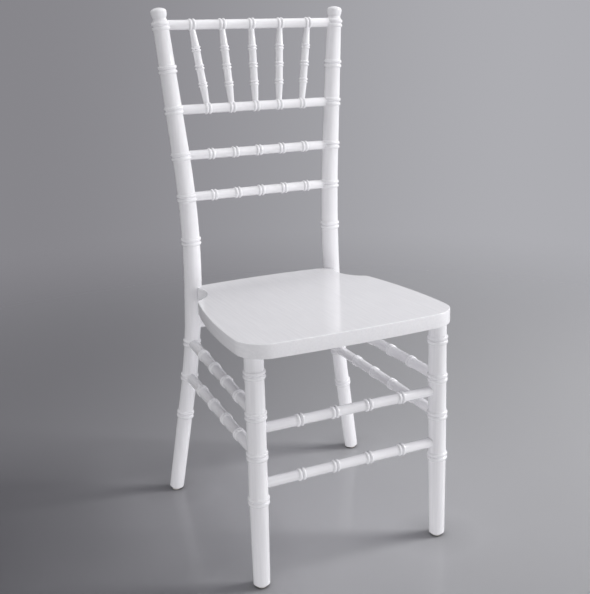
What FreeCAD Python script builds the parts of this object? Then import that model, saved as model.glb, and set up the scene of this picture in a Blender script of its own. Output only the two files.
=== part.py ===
import FreeCAD, Part
import Sketcher
import math
import os

# Chiavari chair, in millimetres. The floor is z = 0, the chair faces -Y and is symmetric about x = 0.
# Origin: on the floor, at the middle of the chair's width and depth.

Vector = FreeCAD.Vector

doc = FreeCAD.newDocument("chiavari_chair")

# Driving dimensions, one row each: alias, millimetres or degrees, and what it measures.
driving_sizes = [
    ("seat_width", 387.0, "widest part of the seat"),
    ("seat_front_height", 433.2, "floor to the seat's upper face at its front edge"),
    ("seat_thickness", 24.4, "slab seat"),
    ("seat_rake", 2.4, "degrees that the seat falls to the rear"),
    ("seat_depth", 390.6, "seat's front edge to the knee of the rear posts"),
    ("seat_front_radius", 2570.0, "bow of the front edge in plan"),
    ("seat_corner_radius", 51.0, "front corners in plan"),
    ("seat_side_radius", 1055.0, "bow of the sides in plan"),
    ("seat_widest_setback", 75.8, "front edge to the widest place"),
    ("seat_shoulder_radius", 17.0, "convex turn from the side into the waist"),
    ("seat_waist_radius", 70.0, "hollow in front of each rear post"),
    ("seat_waist_inset", 10.0, "waist's narrowest place, inwards of the post's axis"),
    ("seat_waist_setback", 42.0, "waist's narrowest place, in front of the post's axis"),
    ("seat_tail", 6.2, "seat's rear edge behind the posts' axes, at the middle"),
    ("seat_tail_radius", 1100.0, "bow of the rear edge in plan"),
    ("seat_edge_radius", 1.5, "easing of the seat's upper edge"),
    ("seat_under_radius", 1.5, "easing of the seat's lower edge"),
    ("knee_inset", 62.5, "seat's side to the knee of the rear post"),
    ("knee_rise", 7.1, "seat's upper face up to the knee of the rear post"),
    ("back_splay", 39.1, "how far each post leans outwards from knee to top"),
    ("back_recline", 35.9, "how far each post leans back from knee to top"),
    ("rear_foot_splay", 65.3, "rear foot outwards of the knee"),
    ("rear_foot_rake", 22.0, "rear foot behind the knee"),
    ("bend_radius", 1690.0, "bend of the rear posts"),
    ("post_foot_diameter", 27.2, "rear post at its foot"),
    ("post_ankle_diameter", 28.4, "rear post at its lowest beads"),
    ("post_shin_diameter", 29.2, "rear post at the upper side stretcher"),
    ("post_knee_diameter", 32.5, "rear post at the seat and just above it"),
    ("post_back_diameter", 31.5, "rear post at the upper back rail"),
    ("post_top_diameter", 27.5, "rear post at the crest rail"),
    ("post_bead_width", 7.2, "each bead of a pair on posts and legs"),
    ("post_bead_rise", 2.4, "how far these beads stand proud"),
    ("post_bead_gap", 0.6, "flat between the two beads of a pair"),
    ("seat_bead_rise", 86.5, "seat up to the lowest beads on the back"),
    ("back_rail_lower_rise", 81.0, "those beads up to the lower back rail"),
    ("back_rail_upper_rise", 74.9, "lower back rail up to the upper one"),
    ("spindle_rail_rise", 81.0, "upper back rail up to the spindle rail"),
    ("crest_rise", 145.0, "spindle rail up to the crest rail"),
    ("mid_bead_drop", 74.9, "crest rail down to the beads beside the spindles"),
    ("crest_bead_drop", 1.5, "crest rail down to the beads below the finials"),
    ("finial_rise", 29.3, "crest rail up to the top of the finials"),
    ("finial_diameter", 27.8, "knob on the post"),
    ("finial_neck_diameter", 22.6, "neck under the knob"),
    ("finial_flare", 4.8, "height of the cone from the crest beads up to the neck"),
    ("finial_swell", 10.2, "height of the knob from its neck to its full width"),
    ("finial_crown", 4.6, "height of the knob's crown"),
    ("finial_edge_radius", 5.0, "rounding between the knob's side and its crown"),
    ("rail_diameter", 17.0, "crest rail, spindle rail and back rails"),
    ("rail_bead_width", 5.4, "each bead of a pair on the rails"),
    ("rail_bead_rise", 2.1, "how far these beads stand proud"),
    ("rail_bead_gap", 1.4, "flat between the two beads of a pair"),
    ("rail_pitch", 46.6, "bead pairs on the spindle rail and the back rails"),
    ("crest_pitch", 56.1, "bead pairs on the crest rail"),
    ("spindle_diameter", 13.6, "spindle between its bead pairs"),
    ("spindle_end_diameter", 10.2, "spindle where it enters a rail"),
    ("spindle_pitch", 31.3, "bead pairs on a spindle"),
    ("spindle_bead_width", 4.2, "each bead of a pair on a spindle"),
    ("spindle_bead_rise", 1.6, "how far these beads stand proud"),
    ("spindle_bead_gap", 1.0, "flat between the two beads of a pair"),
    ("leg_diameter", 31.4, "front leg"),
    ("leg_foot_diameter", 28.4, "front leg at its foot"),
    ("leg_inset_side", 25.7, "seat's side to the front leg's axis, under the seat"),
    ("leg_inset_front", 38.5, "seat's front edge to the front leg's axis, under the seat"),
    ("leg_splay", 3.6, "front foot outwards of the leg's top"),
    ("leg_rake", 10.0, "front foot in front of the leg's top"),
    ("leg_top_bead_drop", 33.5, "seat's underside down to the leg's highest beads"),
    ("foot_chamfer", 6.0, "chamfer round each foot"),
    ("stretcher_diameter", 17.6, "all stretchers"),
    ("stretcher_bead_width", 6.0, "each bead of a pair on the stretchers"),
    ("stretcher_bead_rise", 2.2, "how far these beads stand proud"),
    ("stretcher_bead_gap", 1.2, "flat between the two beads of a pair"),
    ("rear_stretcher_drop", 49.8, "seat's underside at the rear posts down to the rear stretcher"),
    ("side_stretcher_upper_drop", 36.3, "rear stretcher down to the upper side stretchers"),
    ("front_stretcher_upper_drop", 24.3, "upper side stretchers down to the upper front one"),
    ("side_stretcher_lower_drop", 44.8, "upper front stretcher down to the lower side ones"),
    ("front_stretcher_lower_drop", 52.0, "lower side stretchers down to the lower front one"),
    ("foot_bead_drop", 26.7, "lower front stretcher down to the lowest beads on the front legs"),
    ("rear_foot_bead_rise", 2.2, "those beads up to the lowest ones on the rear posts"),
    ("front_stretcher_pitch", 62.9, "bead pairs on the front and rear stretchers"),
    ("side_stretcher_pitch", 67.3, "bead pairs on the side stretchers"),
    ("tenon_diameter", 11.0, "tenons of rails and stretchers"),
    ("tenon_length", 12.0, "tenons of rails and stretchers"),
    ("tenon_chamfer", 0.8, "chamfer on every tenon's end"),
    ("shoulder_margin", 0.4, "how far a rod's shoulder goes in past the round surface"),
    ("spindle_tenon_diameter", 6.6, "tenons of the spindles"),
    ("spindle_tenon_length", 5.4, "tenons of the spindles"),
    ("leg_tenon_diameter", 18.0, "tenon on top of a front leg"),
    ("leg_tenon_length", 12.0, "tenon on top of a front leg"),
    ("leg_seating", 1.8, "how far a front leg is let into the seat"),
    ("fit_gap", 0.08, "radial gap of every glued or bolted fit"),
    ("end_gap", 0.6, "room past the end of a tenon"),
    ("bolt_diameter", 6.0, "connector bolt's shank"),
    ("bolt_past_nut", 3.0, "connector bolt's end past its barrel nut"),
    ("bolt_head_diameter", 12.0, "connector bolt's head"),
    ("bolt_head_height", 3.6, "connector bolt's head"),
    ("bolt_head_depth", 3.0, "head's outer face below the post's surface"),
    ("bolt_socket_size", 4.0, "hexagon socket across its flats"),
    ("bolt_socket_depth", 2.4, "hexagon socket"),
    ("nut_diameter", 10.0, "barrel nut"),
    ("nut_length", 14.0, "barrel nut"),
    ("nut_setback", 42.0, "post's axis to the barrel nut's axis"),
    ("glide_diameter", 16.0, "nylon glide"),
    ("glide_thickness", 2.0, "nylon glide's disc"),
    ("nail_diameter", 3.0, "glide's nail"),
    ("nail_length", 14.0, "glide's nail"),
]

sheet = doc.addObject("Spreadsheet::Sheet", "Sizes")
for row, (alias, number, meaning) in enumerate(driving_sizes, start=1):
    sheet.set("A%d" % row, meaning)
    sheet.set("B%d" % row, str(number))
    sheet.setAlias("B%d" % row, alias)
doc.recompute()


# A length is a number of millimetres with the sheet formula that gives it, or None where a bend or a
# tangent has to be worked out first.
class Length:
    def __init__(self, value, formula=None):
        self.value = float(value)
        self.formula = formula

    def __add__(self, other):
        return Length(self.value + value_of(other), joined(self, "+", other))

    def __sub__(self, other):
        return Length(self.value - value_of(other), joined(self, "-", other))

    def __mul__(self, other):
        return Length(self.value * value_of(other), joined(self, "*", other))

    def __truediv__(self, other):
        return Length(self.value / value_of(other), joined(self, "/", other))


def value_of(item):
    return item.value if isinstance(item, Length) else float(item)


def formula_of(item):
    return item.formula if isinstance(item, Length) else "%.9g" % item


def joined(left, sign, right):
    if formula_of(left) is None or formula_of(right) is None:
        return None
    return "(%s %s %s)" % (formula_of(left), sign, formula_of(right))


class Sizes:
    pass


size = Sizes()      # lengths with their formulas, for sketches and primitives
mm = Sizes()        # the same as plain numbers, for places
for alias, number, meaning in driving_sizes:
    setattr(size, alias, Length(sheet.get(alias), "Sizes." + alias))
    setattr(mm, alias, float(sheet.get(alias)))


# Axes of the frame

half_seat = mm.seat_width / 2
rake_slope = math.tan(math.radians(mm.seat_rake))
seat_front = -(mm.seat_depth + mm.back_recline + mm.finial_diameter / 2) / 2


def seat_top_at(y):
    return mm.seat_front_height - (y - seat_front) * rake_slope


seat_middle = Vector(0, 0, seat_top_at(0))
seat_turn = FreeCAD.Rotation(Vector(1, 0, 0), -mm.seat_rake)
seat_normal = seat_turn.multVec(Vector(0, 0, 1))

# Levels of rails and beads above the floor, counted up and down from the seat at the rear posts
knee_y = seat_front + mm.seat_depth
seat_level = seat_top_at(knee_y)
seat_bead_height = seat_level + mm.seat_bead_rise
back_rail_lower_height = seat_bead_height + mm.back_rail_lower_rise
back_rail_upper_height = back_rail_lower_height + mm.back_rail_upper_rise
spindle_rail_height = back_rail_upper_height + mm.spindle_rail_rise
crest_height = spindle_rail_height + mm.crest_rise
mid_bead_height = crest_height - mm.mid_bead_drop
crest_bead_height = crest_height - mm.crest_bead_drop
overall_height = crest_height + mm.finial_rise
seat_underside = seat_level - mm.seat_thickness
rear_stretcher_height = seat_underside - mm.rear_stretcher_drop
side_stretcher_upper_height = rear_stretcher_height - mm.side_stretcher_upper_drop
front_stretcher_upper_height = side_stretcher_upper_height - mm.front_stretcher_upper_drop
side_stretcher_lower_height = front_stretcher_upper_height - mm.side_stretcher_lower_drop
front_stretcher_lower_height = side_stretcher_lower_height - mm.front_stretcher_lower_drop
foot_bead_height = front_stretcher_lower_height - mm.foot_bead_drop
rear_foot_bead_height = foot_bead_height + mm.rear_foot_bead_rise

# Right rear post's axis: a straight leg, an arc of the bend radius at the knee, and a straight back
knee_point = Vector(half_seat - mm.knee_inset, knee_y, seat_level + mm.knee_rise)
foot_point = Vector(knee_point.x + mm.rear_foot_splay, knee_point.y + mm.rear_foot_rake, 0)
top_point = Vector(knee_point.x + mm.back_splay, knee_point.y + mm.back_recline, overall_height)
leg_way = (knee_point - foot_point).normalize()
back_way = (top_point - knee_point).normalize()
bend_reach = mm.bend_radius * math.tan(leg_way.getAngle(back_way) / 2)
bend_start = knee_point - leg_way * bend_reach
bend_end = knee_point + back_way * bend_reach


# Point on that axis at a height, and the axis's direction there
def post_axis(height):
    if height <= bend_start.z:
        return foot_point + leg_way * (height / leg_way.z), leg_way
    if height >= bend_end.z:
        return bend_end + back_way * ((height - bend_end.z) / back_way.z), back_way
    inward = (back_way - leg_way * leg_way.dot(back_way)).normalize()
    climb = (height - bend_start.z) / mm.bend_radius
    angle = math.asin((climb - inward.z) / math.hypot(leg_way.z, inward.z)) + math.atan2(inward.z, leg_way.z)
    point = bend_start + (leg_way * math.sin(angle) + inward * (1 - math.cos(angle))) * mm.bend_radius
    return point, leg_way * math.cos(angle) + inward * math.sin(angle)


def on_post(height):
    return post_axis(height)[0]


post_at_seat, post_direction = post_axis(seat_level - mm.seat_thickness / 2)

# Rear post's diameter by height: it swells from the foot to the seat and tapers up the back
post_taper = [
    (rear_foot_bead_height, mm.post_ankle_diameter),
    (side_stretcher_upper_height, mm.post_shin_diameter),
    (seat_underside, mm.post_knee_diameter),
    (seat_bead_height, mm.post_knee_diameter),
    (back_rail_upper_height, mm.post_back_diameter),
    (crest_bead_height, mm.post_top_diameter),
]


def post_radius(height):
    if height <= post_taper[0][0]:
        return post_taper[0][1] / 2
    for (low, low_diameter), (high, high_diameter) in zip(post_taper, post_taper[1:]):
        if height <= high:
            return (low_diameter + (high_diameter - low_diameter) * (height - low) / (high - low)) / 2
    return post_taper[-1][1] / 2


# Front leg's axis: its foot on the floor and its shoulder in the seat's underside
leg_top_x = half_seat - mm.leg_inset_side
leg_top_y = seat_front + mm.leg_inset_front
leg_shoulder = Vector(leg_top_x, leg_top_y, seat_top_at(leg_top_y) - mm.seat_thickness + mm.leg_seating)
leg_foot = Vector(leg_top_x + mm.leg_splay, leg_top_y - mm.leg_rake, 0)


def on_leg(height):
    return leg_foot + (leg_shoulder - leg_foot) * (height / leg_shoulder.z)


def mirrored(point):
    return Vector(-point.x, point.y, point.z)


def on_side(point, side):
    return point if side > 0 else mirrored(point)


# Placement whose Z axis runs from one point towards another
def along(start, end):
    return FreeCAD.Placement(start, FreeCAD.Rotation(Vector(0, 0, 1), end - start))


# Turned pieces

def origin_plane(body, role):
    return [item for item in body.Origin.OriginFeatures if item.Role == role][0]


# Radius of the arc with this chord and rise
def arc_radius(chord, rise):
    return (chord * chord / 4 + rise * rise) / (rise * 2)


# Middle of the arc between two corners that bulges away from the turning axis
def arc_middle(start, end, radius):
    chord = end - start
    outward = Vector(chord.y, -chord.x, 0).normalize()
    rise = radius - math.sqrt(radius ** 2 - (chord.Length / 2) ** 2)
    return (start + end) / 2 + outward * rise


# Kinds of bead pair: each bead's width, how far it stands proud, and the flat between the two
post_beads = (size.post_bead_width, size.post_bead_rise, size.post_bead_gap)
rail_beads = (size.rail_bead_width, size.rail_bead_rise, size.rail_bead_gap)
stretcher_beads = (size.stretcher_bead_width, size.stretcher_bead_rise, size.stretcher_bead_gap)
spindle_beads = (size.spindle_bead_width, size.spindle_bead_rise, size.spindle_bead_gap)


def bead_pair(centre, radius, beads):
    width, rise, gap = beads
    bend = arc_radius(width, rise)
    return [(radius, centre - gap / 2 - width, bend), (radius, centre - gap / 2, None),
            (radius, centre + gap / 2, bend), (radius, centre + gap / 2 + width, None)]


# One turned piece: its outline is a list of corners (radius, distance along the axis, bend), from the
# axis at its lower end round to the axis at its upper end. A bend is the radius of the arc that leads
# to the next corner, and a straight line leads there without one.
def turned(label, outline, placement):
    body = doc.addObject("PartDesign::Body", label)
    sketch = body.newObject("Sketcher::SketchObject", label + "_profile")
    sketch.AttachmentSupport = [(origin_plane(body, "XZ_Plane"), "")]
    sketch.MapMode = "FlatFace"
    corners = [Vector(value_of(radius), value_of(place), 0) for radius, place, bend in outline]
    edges = []
    for index, (radius, place, bend) in enumerate(outline):
        start, end = corners[index], corners[(index + 1) % len(corners)]
        if bend is None:
            edges.append(Part.LineSegment(start, end))
        else:
            edges.append(Part.Arc(start, arc_middle(start, end, value_of(bend)), end))
    sketch.addGeometry(edges, False)
    for index, (radius, place, bend) in enumerate(outline):
        sketch.addConstraint(Sketcher.Constraint("Coincident", index, 2, (index + 1) % len(outline), 1))
        hold(sketch, "DistanceX", index, radius, -2)
        hold(sketch, "DistanceY", index, place, -1)
        if bend is not None:
            number = sketch.addConstraint(Sketcher.Constraint("Radius", index, value_of(bend)))
            bind(sketch, "Constraints[%d]" % number, bend)
    turning = body.newObject("PartDesign::Revolution", label + "_turning")
    turning.Profile = sketch
    turning.ReferenceAxis = (sketch, ["V_Axis"])
    turning.Angle = 360.0
    body.Placement = placement
    return body


# Distance of a corner from the sketch's axis, or the corner on that axis where the distance is nil
def hold(sketch, kind, index, length, axis):
    if value_of(length) == 0:
        sketch.addConstraint(Sketcher.Constraint("PointOnObject", index, 1, axis))
        return
    number = sketch.addConstraint(Sketcher.Constraint(kind, -1, 1, index, 1, value_of(length)))
    bind(sketch, "Constraints[%d]" % number, length)


def bind(target, name, length):
    if formula_of(length) is not None:
        target.setExpression(name, formula_of(length))


# Outline of a tenon's end, from the axis to the tenon's full diameter
def tenon_start(diameter):
    return [(0, 0, None),
            (diameter / 2 - size.tenon_chamfer, 0, None),
            (diameter / 2, size.tenon_chamfer, None)]


# Rod with a tenon at each end and bead pairs at one pitch about its middle
def rod_outline(span, diameter, pairs, pitch, beads):
    total = span + size.tenon_length * 2
    far_shoulder = span + size.tenon_length
    outline = tenon_start(size.tenon_diameter)
    outline += [(size.tenon_diameter / 2, size.tenon_length, None), (diameter / 2, size.tenon_length, None)]
    for number in range(pairs):
        centre = total / 2 + pitch * (number - (pairs - 1) / 2)
        outline += bead_pair(centre, diameter / 2, beads)
    outline += [(diameter / 2, far_shoulder, None), (size.tenon_diameter / 2, far_shoulder, None),
                (size.tenon_diameter / 2, total - size.tenon_chamfer, None),
                (size.tenon_diameter / 2 - size.tenon_chamfer, total, None), (0, total, None)]
    return outline


# Bores that carry the rods, by the piece they are drilled into: the shoulder's place, the way in, the
# rod's diameter, the tenon's diameter and the tenon's length.
bores = {}


def add_bore(carrier, shoulder, way_in, diameter, tenon_diameter, tenon_length):
    bores.setdefault(carrier, []).append((shoulder, way_in, diameter, tenon_diameter, tenon_length))


# How far from a round carrier's axis a rod's shoulder stands
def shoulder_distance(carrier_radius, rod_radius):
    return math.sqrt(carrier_radius ** 2 - rod_radius ** 2) - mm.shoulder_margin


# Rod between the axes of two round carriers
def rod(label, start, start_carrier, start_radius, end, end_carrier, end_radius, diameter, pairs, pitch,
        beads):
    way = (end - start).normalize()
    near = start + way * shoulder_distance(start_radius, diameter.value / 2)
    far = end - way * shoulder_distance(end_radius, diameter.value / 2)
    span = Length((far - near).Length)
    outline = rod_outline(span, diameter, pairs, pitch, beads)
    piece = turned(label, outline, along(near - way * mm.tenon_length, far))
    add_bore(start_carrier, near, -way, diameter, size.tenon_diameter, size.tenon_length)
    add_bore(end_carrier, far, way, diameter, size.tenon_diameter, size.tenon_length)
    return piece


# Rod from the left rear post to the right one, at one height
def cross_rail(label, height, diameter, pairs, pitch, beads):
    right = on_post(height)
    radius = post_radius(height)
    return rod(label, mirrored(right), "rear_post_left", radius, right, "rear_post_right", radius,
               diameter, pairs, pitch, beads)


pieces = {}

spindle_count = 5
rail_pairs = spindle_count      # a bead pair at every spindle
stretcher_pairs = 4

back_rails = [("crest_rail", "crest_rail_rod", crest_height, size.crest_pitch),
              ("spindle_rail", "spindle_rail_rod", spindle_rail_height, size.rail_pitch),
              ("back_rail_upper", "back_rail_upper", back_rail_upper_height, size.rail_pitch),
              ("back_rail_lower", "back_rail_lower", back_rail_lower_height, size.rail_pitch)]
for name, label, height, pitch in back_rails:
    pieces[name] = cross_rail(label, height, size.rail_diameter, rail_pairs, pitch, rail_beads)
pieces["rear_stretcher"] = cross_rail("rear_stretcher", rear_stretcher_height, size.stretcher_diameter,
                                      stretcher_pairs, size.front_stretcher_pitch, stretcher_beads)

for level, height in (("upper", front_stretcher_upper_height), ("lower", front_stretcher_lower_height)):
    name = "front_stretcher_" + level
    right = on_leg(height)
    pieces[name] = rod(name, mirrored(right), "front_leg_left", mm.leg_diameter / 2, right, "front_leg_right",
                       mm.leg_diameter / 2, size.stretcher_diameter, stretcher_pairs,
                       size.front_stretcher_pitch, stretcher_beads)

for side, side_name in ((-1, "left"), (1, "right")):
    for level, height in (("upper", side_stretcher_upper_height), ("lower", side_stretcher_lower_height)):
        name = "side_stretcher_%s_%s" % (side_name, level)
        pieces[name] = rod(name, on_side(on_leg(height), side), "front_leg_" + side_name, mm.leg_diameter / 2,
                           on_side(on_post(height), side), "rear_post_" + side_name, post_radius(height),
                           size.stretcher_diameter, stretcher_pairs, size.side_stretcher_pitch,
                           stretcher_beads)


# Spindles, fanned from the spindle rail up to the crest rail

def spindle_outline(span):
    total = span + size.spindle_tenon_length * 2
    far_shoulder = span + size.spindle_tenon_length
    tenon = size.spindle_tenon_diameter
    outline = tenon_start(tenon)
    outline += [(tenon / 2, size.spindle_tenon_length, None),
                (size.spindle_end_diameter / 2, size.spindle_tenon_length, None)]
    for number in (-1, 0, 1):
        outline += bead_pair(total / 2 + size.spindle_pitch * number, size.spindle_diameter / 2, spindle_beads)
    outline += [(size.spindle_end_diameter / 2, far_shoulder, None), (tenon / 2, far_shoulder, None),
                (tenon / 2, total - size.tenon_chamfer, None),
                (tenon / 2 - size.tenon_chamfer, total, None), (0, total, None)]
    return outline


for number in range(spindle_count):
    place = number - (spindle_count - 1) / 2
    low = Vector(place * mm.rail_pitch, on_post(spindle_rail_height).y, spindle_rail_height)
    high = Vector(place * mm.crest_pitch, on_post(crest_height).y, crest_height)
    way = (high - low).normalize()
    inset = shoulder_distance(mm.rail_diameter / 2, mm.spindle_end_diameter / 2)
    near, far = low + way * inset, high - way * inset
    name = "spindle_%d" % (number + 1)
    pieces[name] = turned(name, spindle_outline(Length((far - near).Length)),
                          along(near - way * mm.spindle_tenon_length, far))
    for carrier, shoulder, way_in in (("spindle_rail", near, -way), ("crest_rail", far, way)):
        add_bore(carrier, shoulder, way_in, size.spindle_end_diameter, size.spindle_tenon_diameter,
                 size.spindle_tenon_length)


# Drilling: every bore is a shallow seat for the rod's shoulder and a deeper hole for its tenon

def cylinder(label, diameter, height, placement):
    drill = doc.addObject("Part::Cylinder", label)
    bind(drill, "Radius", diameter / 2)
    bind(drill, "Height", height)
    drill.Radius = value_of(diameter) / 2
    drill.Height = value_of(height)
    drill.Placement = placement
    return drill


def bore_drills(label, outreach):
    drills = []
    for number, (shoulder, way_in, diameter, tenon_diameter, tenon_length) in enumerate(bores[label], start=1):
        play = size.fit_gap * 2
        drills.append(cylinder("%s_seat_%d" % (label, number), diameter + play, outreach,
                               along(shoulder, shoulder - way_in)))
        drills.append(cylinder("%s_hole_%d" % (label, number), tenon_diameter + play,
                               tenon_length + size.end_gap, along(shoulder, shoulder + way_in)))
    return drills


def cut(label, base, drills):
    joined_drills = doc.addObject("Part::MultiFuse", label + "_drills")
    joined_drills.Shapes = drills
    piece = doc.addObject("Part::Cut", label)
    piece.Base = base
    piece.Tool = joined_drills
    return piece


for name in ("crest_rail", "spindle_rail"):
    pieces[name] = cut(name, pieces[name], bore_drills(name, size.rail_diameter))


# What is taken off under a foot, down from the top of its glide, and the hole for the glide's nail
def foot_drills(label, foot):
    trim = doc.addObject("Part::Cylinder", label + "_trim")
    trim.Radius = mm.post_knee_diameter
    bind(trim, "Radius", size.post_knee_diameter)
    trim.Height = mm.foot_chamfer * 2
    bind(trim, "Height", size.foot_chamfer * 2)
    trim.Placement = along(Vector(foot.x, foot.y, mm.glide_thickness), Vector(foot.x, foot.y, -1))
    nail_place = along(Vector(foot.x, foot.y, mm.glide_thickness), Vector(foot.x, foot.y, overall_height))
    nail = cylinder(label + "_nail_hole", size.nail_diameter + size.fit_gap * 2,
                    size.nail_length + size.end_gap, nail_place)
    return [trim, nail]


# Front legs

leg_length = Length((leg_shoulder - leg_foot).Length)
leg_climb = leg_length / leg_shoulder.z      # leg length for each millimetre of height
top_bead = leg_length - size.leg_top_bead_drop


def leg_outline():
    radius = size.leg_diameter / 2
    total = leg_length + size.leg_tenon_length
    outline = [(0, 0, None), (size.leg_foot_diameter / 2 - size.foot_chamfer, 0, None),
               (size.leg_foot_diameter / 2, size.foot_chamfer, None)]
    for height in (foot_bead_height, side_stretcher_lower_height, side_stretcher_upper_height):
        outline += bead_pair(leg_climb * height, radius, post_beads)
    outline += bead_pair(top_bead, radius, post_beads)
    outline += [(radius, leg_length, None), (size.leg_tenon_diameter / 2, leg_length, None),
                (size.leg_tenon_diameter / 2, total - size.tenon_chamfer, None),
                (size.leg_tenon_diameter / 2 - size.tenon_chamfer, total, None), (0, total, None)]
    return outline


for side, side_name in ((-1, "left"), (1, "right")):
    name = "front_leg_" + side_name
    foot, shoulder = on_side(leg_foot, side), on_side(leg_shoulder, side)
    leg = turned(name + "_turned", leg_outline(), along(foot, shoulder))
    pieces[name] = cut(name, leg, bore_drills(name, size.leg_diameter) + foot_drills(name, foot))
    add_bore("seat_panel", shoulder, (shoulder - foot).normalize(), size.leg_diameter, size.leg_tenon_diameter,
             size.leg_tenon_length)


# Connector bolts from the back of each post through it into a barrel nut in the seat

def bolt_line(side):
    way = seat_turn.multVec(Vector(-1, -1, 0).normalize())
    return on_side(post_at_seat, side), on_side(way, side)


head_setback = size.post_knee_diameter / 2 - size.bolt_head_depth - size.bolt_head_height
bolt_length = head_setback + size.nut_setback + size.nut_diameter / 2 + size.bolt_past_nut


def head_floor(side):
    axis, way = bolt_line(side)
    return axis - way * head_setback.value


def bolt(side, side_name):
    name = "post_bolt_" + side_name
    axis, way = bolt_line(side)
    seat_place = head_floor(side)
    shank = cylinder(name + "_shank", size.bolt_diameter, bolt_length, along(seat_place, seat_place + way))
    head = cylinder(name + "_head", size.bolt_head_diameter, size.bolt_head_height,
                    along(seat_place, seat_place - way))
    blank = doc.addObject("Part::MultiFuse", name + "_blank")
    blank.Shapes = [shank, head]
    key = doc.addObject("Part::Prism", name + "_key")
    key.Polygon = 6
    across_corners = size.bolt_socket_size / math.sqrt(3)
    key.Circumradius = across_corners.value
    bind(key, "Circumradius", across_corners)
    key.Height = mm.bolt_head_height
    bind(key, "Height", size.bolt_head_height)
    key_floor = seat_place - way * (mm.bolt_head_height - mm.bolt_socket_depth)
    key.Placement = along(key_floor, key_floor - way)
    piece = doc.addObject("Part::Cut", name)
    piece.Base = blank
    piece.Tool = key
    return piece


# Barrel nut across the bolt, its own bore taking the bolt
def nut(side, side_name):
    name = "barrel_nut_" + side_name
    axis, way = bolt_line(side)
    middle = axis + way * mm.nut_setback
    barrel = cylinder(name + "_barrel", size.nut_diameter, size.nut_length,
                      along(middle - seat_normal * (mm.nut_length / 2), middle + seat_normal))
    thread = cylinder(name + "_thread", size.bolt_diameter + size.fit_gap * 2, size.nut_diameter * 2,
                      along(middle - way * mm.nut_diameter, middle + way))
    piece = doc.addObject("Part::Cut", name)
    piece.Base = barrel
    piece.Tool = thread
    return piece


# Holes for the bolt, its head and the nut, as drills for the post and the seat
def bolt_drills(label, side):
    axis, way = bolt_line(side)
    seat_place = head_floor(side)
    play = size.fit_gap * 2
    drills = [cylinder(label + "_bolt_hole", size.bolt_diameter + play, bolt_length + size.end_gap,
                       along(seat_place, seat_place + way))]
    if label.startswith("rear_post"):
        drills.append(cylinder(label + "_head_hole", size.bolt_head_diameter + play, size.post_knee_diameter,
                               along(seat_place, seat_place - way)))
    else:
        top = axis + way * mm.nut_setback + seat_normal * (mm.nut_length / 2 + mm.end_gap)
        drills.append(cylinder(label + "_nut_hole", size.nut_diameter + play, size.seat_thickness,
                               along(top, top - seat_normal)))
    return drills


for side, side_name in ((-1, "left"), (1, "right")):
    pieces["post_bolt_" + side_name] = bolt(side, side_name)
    pieces["barrel_nut_" + side_name] = nut(side, side_name)


# Rear posts: discs with a pair of beads at each level, joined by tapered lengths along the bent axis,
# with a chamfered foot below and a turned finial on top

post_bead_heights = [rear_foot_bead_height, side_stretcher_lower_height, side_stretcher_upper_height,
                     seat_bead_height, back_rail_lower_height, back_rail_upper_height,
                     spindle_rail_height, mid_bead_height, crest_bead_height]
bead_reach = size.post_bead_width + size.post_bead_gap / 2      # half the width of a pair
bend_step = 45.0        # greatest distance between two sections of a bent length
level_margin = 0.01     # how far from a height an edge may still lie
same_way = 1e-6         # below this two directions or two radii are one
notch_share = 0.85      # share of the post's radius at which the seat's plan hides its corners in a notch


def circle(point, way, radius):
    return Part.Wire(Part.Circle(point, way, radius).toShape())


# Length of post between two sections (point, direction, radius), through sections on the axis between
def post_length(lower, upper):
    low, low_way, low_radius = lower
    high, high_way, high_radius = upper
    if low_way.getAngle(high_way) < same_way:
        if abs(low_radius - high_radius) < same_way:
            return Part.makeCylinder(low_radius, (high - low).Length, low, low_way)
        return Part.makeCone(low_radius, high_radius, (high - low).Length, low, low_way)
    steps = math.ceil((high - low).Length / bend_step)
    sections = [circle(low, low_way, low_radius)]
    for step in range(1, steps):
        height = low.z + (high.z - low.z) * step / steps
        point, way = post_axis(height)
        sections.append(circle(point, way, low_radius + (high_radius - low_radius) * step / steps))
    sections.append(circle(high, high_way, high_radius))
    return Part.makeLoft(sections, True, False)


def bead_disc(height):
    point, way = post_axis(height)
    middle = Length(0)
    corners = [(0, middle - bead_reach, None)] + bead_pair(middle, post_radius(height), post_beads)
    corners.append((0, middle + bead_reach, None))
    outline = []
    for index, (radius, place, bend) in enumerate(corners):
        end_radius, end_place, _ = corners[(index + 1) % len(corners)]
        start = Vector(value_of(radius), value_of(place), 0)
        end = Vector(value_of(end_radius), value_of(end_place), 0)
        if bend is None:
            outline.append(Part.LineSegment(start, end))
        else:
            outline.append(Part.Arc(start, arc_middle(start, end, value_of(bend)), end))
    face = Part.Face(Part.Wire([edge.toShape() for edge in outline]))
    face.rotate(Vector(0, 0, 0), Vector(1, 0, 0), 90)
    disc = face.revolve(Vector(0, 0, 0), Vector(0, 0, 1), 360)
    disc.Placement = along(point, point + way)
    return disc


def bent_post():
    foot_radius = mm.post_foot_diameter / 2
    ankle = foot_point + leg_way * mm.foot_chamfer
    solids = [Part.makeCone(foot_radius - mm.foot_chamfer, foot_radius, mm.foot_chamfer, foot_point, leg_way)]
    below = (ankle, leg_way, foot_radius)
    for height in post_bead_heights:
        point, way = post_axis(height)
        radius = post_radius(height)
        if below[0].z < seat_underside < height:
            middle, middle_way = post_axis(seat_underside)
            swell = (middle, middle_way, mm.post_knee_diameter / 2)
            solids.append(post_length(below, swell))
            below = swell
        solids.append(post_length(below, (point - way * bead_reach.value, way, radius)))
        solids.append(bead_disc(height))
        below = (point + way * bead_reach.value, way, radius)
    return solids[0].fuse(solids[1:])


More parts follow.
